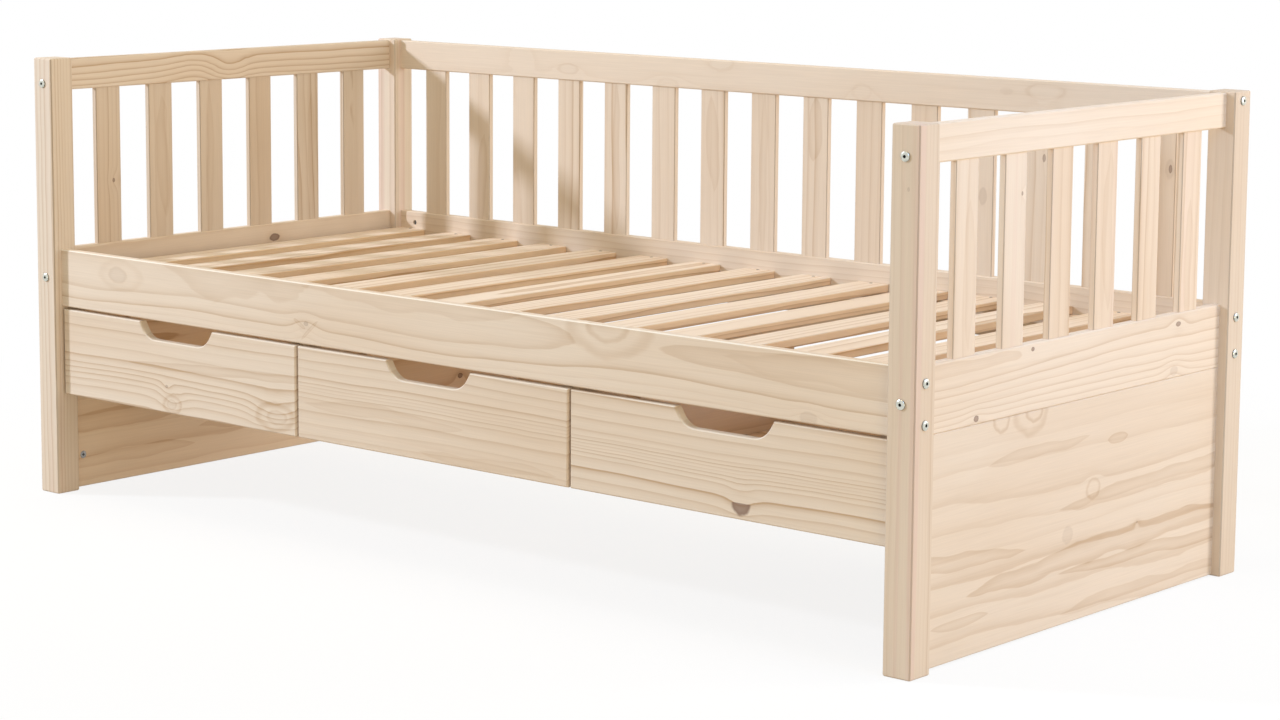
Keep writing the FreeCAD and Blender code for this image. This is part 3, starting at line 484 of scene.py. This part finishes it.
def finish_timber():
    # Posts are straight-grained, cut far from the pith
    post = dict(pith_across=0.07, pith_depth=-0.12, ring_width=0.0095, wander=0.010, edge=0.0008,
                arris=0.20)
    finish_board("front_left_post", "zxy", 3.1, tone=0.05, figure=0.60, pink=0.3, shade=0.98, **post)
    finish_board("front_right_post", "zxy", 8.4, tone=0.30, shade=0.95, figure=0.45, pink=0.8, knots=[
        knot(0.748, 1.0206, 0.0025, lift=0.004, reach=4.0, dark=0.25)], **post)
    finish_board("back_left_post", "zxy", 14.2, tone=0.30, figure=0.60, pink=0.8, **post)
    finish_board("back_right_post", "zxy", 21.7, tone=0.40, figure=0.55, shade=0.90, **post)

    finish_board(
        "front_side_rail", "xzy", 31.0, pith_across=0.026, pith_depth=0.042, ring_width=0.0115, wander=0.020,
        figure=0.80, tone=0.0, uneven=2.0, shade=1.02, crest=0.85,
        knots=[knot(-0.821, 0.443, 0.015, stretch=1.7, lift=0.003, reach=1.5, rim=0.14, dark=0.11),
               knot(-0.812, 0.443, 0.028, stretch=2.1, lift=0.0, rim=0.13),
               knot(-0.306, 0.397, 0.011, stretch=1.4, lift=0.012, reach=2.2, dark=0.06),
               knot(-0.303, 0.405, 0.0042, stretch=1.5, lift=0.0, dark=0.36),
               knot(0.413, 0.474, 0.024, stretch=1.8, lift=0.010, reach=2.4, rim=0.36),
               knot(0.418, 0.472, 0.046, stretch=1.9, lift=0.0, rim=0.30),
               knot(0.827, 0.375, 0.012, lift=0.010, reach=1.6, dark=0.14)],
        flames=[flame(-0.320, 0.4025, 0.015, 0.0038, slope=-0.49, strength=0.42),
                flame(-0.294, 0.394, 0.022, 0.0042, slope=0.84, strength=0.38),
                flame(-0.50, 0.477, 0.21, 0.046, strength=0.22),
                flame(-0.04, 0.474, 0.26, 0.022, strength=0.22),
                flame(0.99, 0.450, 0.35, 0.022, slope=-0.02, strength=0.17)])
    finish_board("back_side_rail", "xzy", 37.5, pith_across=-0.02, pith_depth=0.060, ring_width=0.009,
                 wander=0.014, figure=0.90, tone=0.4)
    finish_board("back_top_rail", "xzy", 42.8, pith_across=0.01, pith_depth=0.030, ring_width=0.011,
                 wander=0.016, bend_along=2.4, figure=0.75, tone=-0.4, knots=[
                     knot(-0.640, 0.822, 0.014, stretch=2.4, lift=0.020, reach=1.9),
                     knot(-0.506, 0.806, 0.010, stretch=2.8, lift=0.014, reach=1.8, rim=0.20, dark=0.04),
                     knot(-0.240, 0.786, 0.014, stretch=2.0, lift=0.016, reach=1.8, rim=0.10),
                     knot(-0.104, 0.836, 0.014, stretch=2.2, lift=0.016, reach=1.8, rim=0.10),
                     knot(0.238, 0.800, 0.016, stretch=1.4, lift=0.020, reach=2.0, rim=0.10),
                     knot(0.562, 0.819, 0.007, stretch=2.0, lift=0.010, reach=1.6, dark=0.06),
                     knot(0.645, 0.822, 0.014, stretch=2.8, lift=0.020, reach=1.6, rim=0.14)])

    finish_board("left_end_top_rail", "yzx", 51.3, pith_across=0.07, pith_depth=-0.060, ring_width=0.0092,
                 wander=0.008, figure=1.15, vary=0.35, tone=0.1, uneven=1.2, knots=[
                     knot(-0.112, 0.800, 0.030, stretch=1.8, lift=0.009, reach=1.2),
                     knot(-0.020, 0.806, 0.030, stretch=1.5, lift=-0.013, reach=1.2)])
    finish_board("right_end_top_rail", "yzx", 57.9, pith_across=-0.04, pith_depth=-0.050, ring_width=0.013,
                 wander=0.012, figure=0.38, tone=-0.5, shade=1.05)
    finish_board("left_end_middle_rail", "yzx", 63.4, pith_across=0.03, pith_depth=-0.060, ring_width=0.010,
                 wander=0.014, figure=0.90, tone=0.4, shade=1.06, knots=[
                     knot(0.100, 0.449, 0.008, stretch=1.8, lift=0.006, reach=2.6, dark=0.95)])
    finish_board(
        "right_end_middle_rail", "yzx", 68.6, pith_across=0.045, pith_depth=-0.045, ring_width=0.0088,
        wander=0.016, bend_across=6.5, figure=0.80, vary=0.65, tone=-0.3, shade=1.02,
        knots=[knot(-0.145, 0.468, 0.0035, lift=0.003, reach=4.0, dark=0.85),
               knot(0.298, 0.459, 0.0045, stretch=1.8, lift=0.004, reach=3.4, dark=0.80),
               knot(-0.299, 0.377, 0.0050, lift=0.005, reach=4.0, dark=0.80),
               knot(0.288, 0.380, 0.009, lift=0.010, reach=2.8, dark=0.15)])

    # The end panels are peeled veneer, so their rings lie almost flat and open into long flames
    veneer = dict(pith_across=0.30, pith_depth=-0.10, ring_pull=0.30, wander=0.012, bend_along=1.3,
                  bend_across=8.0, ring_width=0.0115, uneven=1.6)
    finish_board(
        "right_end_panel", "yzx", 74.0, figure=0.50, tone=-0.3, shade=0.98,
        knots=[knot(-0.228, 0.366, 0.020, stretch=1.1, lift=0.0, rim=0.44),
               knot(-0.135, 0.368, 0.017, stretch=1.4, lift=0.0, rim=0.50),
               knot(-0.145, 0.368, 0.036, stretch=1.3, lift=0.0, rim=0.32),
               knot(-0.030, 0.149, 0.015, stretch=1.1, lift=0.0, dark=0.13),
               knot(0.044, 0.215, 0.017, stretch=1.2, lift=0.004, reach=1.3, rim=0.34),
               knot(0.183, 0.136, 0.0022, lift=0.003, reach=4.0, dark=0.35)],
        flames=[flame(0.115, 0.290, 0.030, 0.008, strength=0.45),
                flame(-0.400, 0.166, 0.250, 0.013, slope=-0.080, strength=0.40),
                flame(0.110, 0.112, 0.430, 0.019, slope=0.030, strength=0.46),
                flame(0.260, 0.082, 0.310, 0.011, slope=-0.020, strength=0.40),
                flame(0.280, 0.203, 0.330, 0.015, slope=0.020, strength=0.36),
                flame(-0.120, 0.300, 0.150, 0.010, slope=0.030, strength=0.28),
                flame(-0.330, 0.060, 0.080, 0.008, strength=0.34),
                flame(0.260, 0.020, 0.300, 0.016, strength=0.26)], **veneer)
    # The left panel's inner face is warmed and brightened as painted bounce light under the bed
    finish_board(
        "left_end_panel", "yzx", 79.5, figure=0.60, tone=0.3, warm=0.25, shade=1.14,
        flames=[flame(-0.220, 0.130, 0.300, 0.020, slope=0.020, strength=0.46),
                flame(-0.050, 0.220, 0.260, 0.016, slope=-0.020, strength=0.40),
                flame(-0.300, 0.050, 0.180, 0.012, strength=0.36),
                flame(0.120, 0.080, 0.240, 0.014, strength=0.36)], **veneer)

    upright = dict(board_width=UPRIGHT_WIDTH, edge=0.0006, arris=0.24)
    finish_row(
        "left_end_uprights", "zyx", 101.0, count=END_UPRIGHTS, ring_width=0.0080, wander=0.010, figure=0.95,
        shade=0.93,
        knots=[knot(0.599, 0.011, 0.0032, board=0, lift=0.008, reach=4.0, dark=0.8)],
        flames=[flame(0.640, 0.004, 0.120, 0.016, board=1, slope=-0.03, strength=0.20),
                flame(0.610, -0.006, 0.160, 0.011, board=2, strength=0.20),
                flame(0.600, 0.010, 0.150, 0.010, board=4, strength=0.22)], **upright)
    finish_row(
        "right_end_uprights", "zyx", 131.0, count=END_UPRIGHTS, ring_width=0.0110, wander=0.010, figure=0.95,
        pink=0.3, shade=1.02,
        knots=[knot(0.718, 0.018, 0.0026, board=1, lift=0.006, reach=4.0, dark=0.7)],
        flames=[flame(0.600, 0.012, 0.120, 0.014, board=0, strength=0.14),
                flame(0.640, 0.008, 0.130, 0.015, board=3, strength=0.20),
                flame(0.560, -0.004, 0.110, 0.012, board=5, strength=0.22)], **upright)
    finish_row(
        "back_uprights", "zxy", 161.0, count=BACK_UPRIGHTS, ring_width=0.0140, wander=0.014, figure=0.80,
        knots=[knot(0.624, 0.008, 0.009, board=11, stretch=1.9, lift=0.003, reach=1.8, dark=0.17),
               knot(0.703, 0.012, 0.0035, board=12, stretch=2.2, lift=0.004, reach=3.4, dark=0.6),
               knot(0.702, 0.019, 0.0095, board=14, stretch=1.9, lift=0.004, reach=1.6, dark=0.14),
               knot(0.702, 0.020, 0.0036, board=14, stretch=2.2, lift=0.0, dark=0.8)],
        flames=[flame(0.560, 0.010, 0.100, 0.013, board=1, slope=0.04, strength=0.24),
                flame(0.640, 0.002, 0.150, 0.009, board=4, strength=0.22),
                flame(0.680, 0.000, 0.095, 0.015, board=6, slope=-0.03, strength=0.22),
                flame(0.620, 0.004, 0.170, 0.010, board=7, strength=0.20),
                flame(0.720, -0.002, 0.062, 0.016, board=8, strength=0.26)], **upright)
    # The slats' narrow sides get painted warm bounce light
    finish_row("bed_slats", "yxz", 207.0, count=BED_SLATS, board_width=SLAT_WIDTH, ring_width=0.0115,
               wander=0.014, figure=1.20, shade=1.10, edges=(SLAT_THICKNESS, 1.0, 1.20))

    hidden = {"front_slat_ledger": "xzy", "back_slat_ledger": "xzy", "left_drawer_divider": "yzx",
              "right_drawer_divider": "yzx", "left_drawer_guide": "yzx", "right_drawer_guide": "yzx",
              "drawer_runners": "yxz", "drawer_kickers": "yxz", "drawer_stops": "yxz"}
    for step, (node, axes) in enumerate(hidden.items()):
        finish_board(node, axes, 251.0 + 4.3 * step, pith_across=0.03, ring_width=0.008, tone=0.6, warm=0.3)


def finish_drawers():
    # Each front has its own run of rings and its own knots
    fronts = {
        "left": dict(
            seed=301.0, pith_across=-0.16, ring_width=0.0165, wander=0.016, tone=0.1, uneven=1.6, crowd=1.5,
            crowd_at=0.148, crowd_width=0.022, figure=0.90, vary=0.85,
            knots=[knot(-0.668, 0.2135, 0.017, stretch=1.5, lift=0.014, reach=1.6, rim=0.36),
                   knot(-0.670, 0.2135, 0.009, stretch=1.5, lift=0.0, rim=0.22, dark=0.05),
                   knot(-0.384, 0.226, 0.026, stretch=1.9, lift=0.018, reach=1.5, rim=0.36),
                   knot(-0.380, 0.225, 0.013, stretch=2.0, lift=0.0, rim=0.24, dark=0.05),
                   knot(-0.684, 0.246, 0.003, lift=0.006, reach=4.0, dark=0.45)],
            flames=[flame(-0.500, 0.292, 0.300, 0.008, slope=0.045, strength=0.34)]),
        "middle": dict(
            seed=311.0, pith_across=-0.18, ring_width=0.0180, wander=0.016, tone=0.45, uneven=1.6, crowd=3.0,
            crowd_at=0.202, crowd_width=0.018, figure=0.95, vary=0.75,
            flames=[flame(-0.120, 0.262, 0.200, 0.012, strength=0.22),
                    flame(0.140, 0.210, 0.160, 0.010, strength=0.22)]),
        "right": dict(
            seed=322.0, pith_across=-0.22, ring_width=0.0200, wander=0.012, tone=0.0, uneven=1.0, crowd=5.0,
            crowd_at=0.226, crowd_width=0.024, figure=1.10, vary=0.70,
            knots=[knot(0.696, 0.2225, 0.0195, stretch=1.0, lift=0.010, reach=1.6, dark=0.9, cut=0.0005)]),
    }
    # Drawer insides are warmed and brightened as painted bounce light inside the boxes
    inside = dict(ring_width=0.009, figure=0.9, tone=0.4, warm=0.60, shade=1.14)
    marks = {"middle_drawer_left_side": [knot(-0.073, 0.262, 0.005, lift=0.006, reach=3.0, dark=0.9)]}
    for name, look in fronts.items():
        seed = look["seed"]
        finish_board(f"{name}_drawer_front", "xzy", pith_depth=0.060, crest=0.45, **look)
        for step, side in enumerate(("left_side", "right_side")):
            node = f"{name}_drawer_{side}"
            finish_board(node, "yzx", seed + 2.0 + step, knots=marks.get(node, ()), **inside)
        finish_board(f"{name}_drawer_back", "xzy", seed + 5.0, **inside)
        finish_board(f"{name}_drawer_bottom", "xyz", seed + 6.0, ring_pull=0.15, wander=0.03, **inside)


# Steel

SPANGLE_RELIEF = 0.0001


def zinc_plate(name, colour, roughness):
    """Zinc-plated steel, a little clouded and spangled."""
    material, wires, shader = new_finish(name)
    place = wires.node("ShaderNodeTexCoord").outputs["Object"]
    cloud = wires.noise(place, scale=260.0, detail=3.0)
    spangle = wires.noise(place, scale=1400.0)
    dark = tuple(0.72 * part for part in colour[:3]) + (1.0,)
    wires.feed(shader["Base Color"], wires.blend(wires.smooth(cloud, 0.35, 0.75), colour, dark))
    wires.feed(shader["Roughness"], wires.between(cloud, roughness - 0.11, roughness + 0.11))
    wires.feed(shader["Normal"], wires.bump(spangle, 0.25, SPANGLE_RELIEF))
    wires.feed(shader["Metallic"], 1.0)
    return material


def new_object(name, bm):
    mesh = bpy.data.meshes.new(name)
    bm.to_mesh(mesh)
    bm.free()
    made = bpy.data.objects.new(name, mesh)
    bpy.context.collection.objects.link(made)
    return made


def turn(bm, rings, segments=ROUND_SEGMENTS):
    """Turns a closed form about z through rings of a radius and a height, from the top down. The first
    ring's face is given back, for a socket or a slot."""
    radius, height = rings[0]
    circle = bmesh.ops.create_circle(bm, cap_ends=True, segments=segments, radius=radius)["verts"]
    bmesh.ops.translate(bm, verts=circle, vec=(0, 0, height))
    top = circle[0].link_faces[0]
    edges = list(top.edges)
    for (before, level), (after, lower) in zip(rings, rings[1:]):
        made = bmesh.ops.extrude_edge_only(bm, edges=edges)["geom"]
        verts = [part for part in made if isinstance(part, bmesh.types.BMVert)]
        edges = [part for part in made if isinstance(part, bmesh.types.BMEdge)]
        bmesh.ops.scale(bm, verts=verts, vec=(after / before, after / before, 1))
        bmesh.ops.translate(bm, verts=verts, vec=(0, 0, lower - level))
    bmesh.ops.contextual_create(bm, geom=edges)
    return top


def sink(bm, faces, depth):
    """Pushes faces down and leaves walls round them, in the second material."""
    made = bmesh.ops.extrude_face_region(bm, geom=faces)["geom"]
    bmesh.ops.delete(bm, geom=faces, context="FACES_ONLY")
    verts = [part for part in made if isinstance(part, bmesh.types.BMVert)]
    bmesh.ops.translate(bm, verts=verts, vec=(0, 0, -depth))
    for face in {face for vert in verts for face in vert.link_faces}:
        face.material_index = 1


def hexagon_socket(bm, top):
    """A hexagon recess in a turned head."""
    bmesh.ops.inset_region(bm, faces=[top], thickness=SOCKET_FLATS / 4, use_even_offset=True)
    for vert in top.verts:
        angle = math.atan2(vert.co.y, vert.co.x)
        reach = SOCKET_FLATS / 2 / math.cos((angle % (math.pi / 3)) - math.pi / 6)
        vert.co.x, vert.co.y = reach * math.cos(angle), reach * math.sin(angle)
    sink(bm, [top], SOCKET_DEPTH)


def cross_recess(bm, top, rim, width, depth, both=True):
    """A cross in a turned head, or a slot."""
    bmesh.ops.inset_region(bm, faces=[top], thickness=rim, use_even_offset=True)
    faces = [top]
    cuts = [(1, 0, 0)] + [(0, 1, 0)] * both
    for normal in cuts:
        for side in (-1, 1):
            around = {part for face in faces for part in (face, *face.edges, *face.verts)}
            level = faces[0].verts[0].co.z
            spot = Vector(normal) * side * width / 2 + Vector((0, 0, level))
            cut = bmesh.ops.bisect_plane(bm, geom=list(around), plane_co=spot, plane_no=normal)
            faces = [part for part in cut["geom"] if isinstance(part, bmesh.types.BMFace)]

    def in_slot(face):
        spot = face.calc_center_median()
        return abs(spot.x) < width / 2 or (both and abs(spot.y) < width / 2)

    sink(bm, [face for face in faces if in_slot(face)], depth)


def shape_bolt(bm):
    """The head's face is bright. Its rim and the shank take the third material, duller zinc that paints a
    dark reflection on the rim.
    """
    rings = [(radius, BOLT_HEAD_HEIGHT - drop) for radius, drop in BOLT_DOME]
    rings += [(BOLT_HEAD_RADIUS, BOLT_RIM_HEIGHT), (BOLT_HEAD_RADIUS, 0.0), (BOLT_SHANK_RADIUS, 0.0),
              (BOLT_SHANK_RADIUS, -BOLT_LENGTH)]
    top = turn(bm, rings)
    for face in bm.faces:
        if face.calc_center_median().z < BOLT_RIM_HEIGHT:
            face.material_index = 2
    hexagon_socket(bm, top)


def shape_nut(bm):
    half = NUT_LENGTH / 2
    rings = [(NUT_RADIUS - EASE, half), (NUT_RADIUS, half - EASE), (NUT_RADIUS, -half)]
    cross_recess(bm, turn(bm, rings), **NUT_SLOT)


def shape_cam(bm):
    rings = [(CAM_RADIUS - EASE, 0.0), (CAM_RADIUS, -EASE), (CAM_RADIUS, -CAM_DEPTH)]
    cross_recess(bm, turn(bm, rings), **CAM_CROSS)


def shape_screw(bm):
    rings = [(SCREW_RADIUS - SCREW_EASE, SCREW_EASE), (SCREW_RADIUS, 0.0), (SCREW_TIP_RADIUS, -SCREW_DEPTH)]
    cross_recess(bm, turn(bm, rings, SCREW_SEGMENTS), **SCREW_CROSS)


def fittings(name, shape, places, materials, node=None):
    """One piece of like fittings, each turned so that its top faces out, on its own spot."""
    bm = bmesh.new()
    for spot, out in places:
        part = bmesh.new()
        shape(part)
        bmesh.ops.remove_doubles(part, verts=part.verts, dist=1e-6)
        bmesh.ops.recalc_face_normals(part, faces=part.faces)
        turned = Vector((0, 0, 1)).rotation_difference(Vector(out)).to_matrix().to_4x4()
        bmesh.ops.transform(part, matrix=Matrix.Translation(spot) @ turned, verts=part.verts)
        mesh = bpy.data.meshes.new(name)
        part.to_mesh(mesh)
        part.free()
        bm.from_mesh(mesh)
        bpy.data.meshes.remove(mesh)
    piece = new_object(name, bm)
    for material in materials:
        piece.data.materials.append(material)
    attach(piece, "frame")
    if node:
        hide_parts(node)


def bolt_rows():
    """Each bolt's spot on its post's outer face and the way it faces out, then the same for its nut."""
    low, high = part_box("front_left_post")
    side = high.x - low.x
    far = middle("back_right_post")
    rail = middle("front_side_rail").z
    top = middle("back_top_rail").z
    rows = []
    for x in (-1, 1):
        for y in (-1, 1):
            post = Vector((x * far.x, y * far.y, 0))
            out_x, out_y = Vector((x, 0, 0)), Vector((0, y, 0))
            ends = [(out_x, rail - BOLT_ROW_PITCH, -out_y), (out_x, rail + BOLT_ROW_PITCH, -out_y),
                    (out_y, rail, -out_x), (out_y, top - BOLT_ROW_PITCH / 2, Vector((0, 0, -1)))]
            if y > 0:
                ends.append((out_x, top + BOLT_ROW_PITCH / 2, out_y))
            for out, z, nut_out in ends:
                spot = post + out * side / 2 + Vector((0, 0, z))
                rows.append((spot, out, spot - out * (side + NUT_INSET), nut_out))
    return rows


def make_fittings():
    bright = zinc_plate("zinc_plate_bright", (0.68, 0.69, 0.61, 1.0), 0.24)
    # Duller zinc for nuts, cams and screws, which also paints a dark reflection on the bolt rims
    dull_zinc_and_dark_reflection = zinc_plate("zinc_plate_dull_and_dark_reflection", (0.30, 0.29, 0.27, 1.0), 0.45)
    # Near-black walls paint the shade inside sockets, slots and crosses
    dark = zinc_plate("painted_recess_shade", (0.05, 0.05, 0.05, 1.0), 0.60)
    rows = bolt_rows()
    fittings("bolts", shape_bolt, [row[:2] for row in rows], (bright, dark, dull_zinc_and_dark_reflection), "connector_bolts")
    fittings("barrel_nut_faces", shape_nut, [row[2:] for row in rows], (dull_zinc_and_dark_reflection, dark), "barrel_nuts")

    panel_low, panel_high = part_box("right_end_panel")
    cams = [((x * panel_low.x, y * (panel_high.y - CAM_INSET), CAM_RISE), (-x, 0, 0))
            for x in (-1, 1) for y in (-1, 1)]
    fittings("cam_faces", shape_cam, cams, (dull_zinc_and_dark_reflection, dark), "cam_locks")

    low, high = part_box("bed_slats")
    pitch = (high.x - low.x - SLAT_WIDTH) / (BED_SLATS - 1)
    screws = [((low.x + SLAT_WIDTH / 2 + pitch * step, y * (high.y - SCREW_INSET), high.z), (0, 0, 1))
              for step in range(BED_SLATS) for y in (-1, 1)]
    fittings("slat_screws", shape_screw, screws, (dull_zinc_and_dark_reflection, dark))
    for node in ("cam_bolts", "divider_brackets"):
        dress(node, dull_zinc_and_dark_reflection)


# Studio

def seen_rays(wires):
    """1 for what the camera sees, directly or in metal, and 0 for light on its way to the bed."""
    rays = wires.node("ShaderNodeLightPath").outputs
    seen = wires.math("MAXIMUM", rays["Is Camera Ray"], rays["Is Glossy Ray"])
    return wires.math("MAXIMUM", seen, rays["Is Transmission Ray"])


def make_floor():
    bm = bmesh.new()
    bmesh.ops.create_grid(bm, x_segments=1, y_segments=1, size=FLOOR_SIZE)
    bmesh.ops.translate(bm, verts=bm.verts, vec=(0, 0, -FLOOR_DROP))
    floor = new_object("floor", bm)

    material = bpy.data.materials.new("studio_floor")
    material.use_nodes = True
    wires = Wires(material.node_tree)
    material.node_tree.nodes.clear()
    seen = seen_rays(wires)
    matt = wires.node("ShaderNodeBsdfDiffuse")
    wires.feed(matt.inputs["Color"], wires.blend(seen, FLOOR_COLOUR, WHITE))
    away = wires.node("ShaderNodeVectorMath", operation="LENGTH")
    wires.feed(away.inputs[0], wires.node("ShaderNodeTexCoord").outputs["Object"])
    far = wires.smooth(away.outputs["Value"], SHADOW_NEAR, SHADOW_FAR)
    mixed = wires.node("ShaderNodeMixShader")
    wires.feed(mixed.inputs[0], wires.math("MULTIPLY", seen, wires.between(far, 1.0 - SHADOW_SHARE, 1.0)))
    wires.feed(mixed.inputs[1], matt.outputs[0])
    wires.feed(mixed.inputs[2], wires.node("ShaderNodeEmission").outputs[0])
    wires.feed(wires.node("ShaderNodeOutputMaterial").inputs["Surface"], mixed.outputs[0])
    floor.data.materials.append(material)


def make_world():
    world = bpy.data.worlds.new("studio")
    bpy.context.scene.world = world
    world.use_nodes = True
    wires = Wires(world.node_tree)
    world.node_tree.nodes.clear()
    seen = seen_rays(wires)
    sky = wires.node("ShaderNodeBackground")
    wires.feed(sky.inputs["Color"], wires.blend(seen, SKY_COLOUR, WHITE))
    wires.feed(sky.inputs["Strength"], wires.between(seen, SKY_LIGHT, 1.0))
    wires.feed(wires.node("ShaderNodeOutputWorld").inputs["Surface"], sky.outputs[0])


def lamp(name, place, aim, power, size, colour, spread=180.0):
    data = bpy.data.lights.new(name, "AREA")
    data.shape = "RECTANGLE"
    data.size, data.size_y = size
    data.spread = math.radians(spread)
    data.energy = power
    data.color = colour
    light = bpy.data.objects.new(name, data)
    bpy.context.collection.objects.link(light)
    light.location = place
    light.rotation_euler = (Vector(aim) - Vector(place)).to_track_quat("-Z", "Y").to_euler()


def make_lights():
    lamp("key_left", (-6.28, -4.45, 3.71), BED_MIDDLE, power=468.0, size=(0.65, 0.65),
         colour=(0.81, 0.87, 1.0))
    lamp("fill_low", (4.6, -2.6, 0.55), BED_MIDDLE, power=43.0, size=(2.0, 1.0),
         colour=(1.0, 0.77, 0.47))
    lamp("side_back", (3.6, 2.4, 1.2), (0.3, 0.4, 0.6), power=65.0, size=(1.4, 1.4),
         colour=(1.0, 0.91, 0.85))
    lamp("side_right", (2.2, -0.25, 1.9), (1.0, 0.0, 0.4), power=3.1, size=(1.2, 1.2),
         colour=(0.25, 0.50, 1.0), spread=70.0)
    lamp("overhead", (0.2, -0.3, 3.6), BED_MIDDLE, power=13.0, size=(3.0, 2.0),
         colour=(1.0, 0.72, 0.42), spread=100.0)


def make_camera():
    data = bpy.data.cameras.new("photo_camera")
    data.sensor_width = SENSOR_WIDTH
    data.lens = FOCAL_PIXELS / PHOTO_WIDTH * SENSOR_WIDTH
    data.shift_y = CAMERA_SHIFT
    camera = bpy.data.objects.new("photo_camera", data)
    bpy.context.collection.objects.link(camera)
    camera.location = CAMERA_PLACE
    facing = (Matrix.Rotation(math.radians(CAMERA_YAW), 3, "Z")
              @ Matrix.Rotation(math.radians(90 - CAMERA_PITCH), 3, "X")
              @ Matrix.Rotation(math.radians(CAMERA_ROLL), 3, "Z"))
    camera.rotation_euler = facing.to_euler()
    bpy.context.scene.camera = camera


finish_timber()
finish_drawers()
make_fittings()
make_floor()
make_world()
make_lights()
make_camera()
bpy.context.scene.view_settings.view_transform = "Standard"
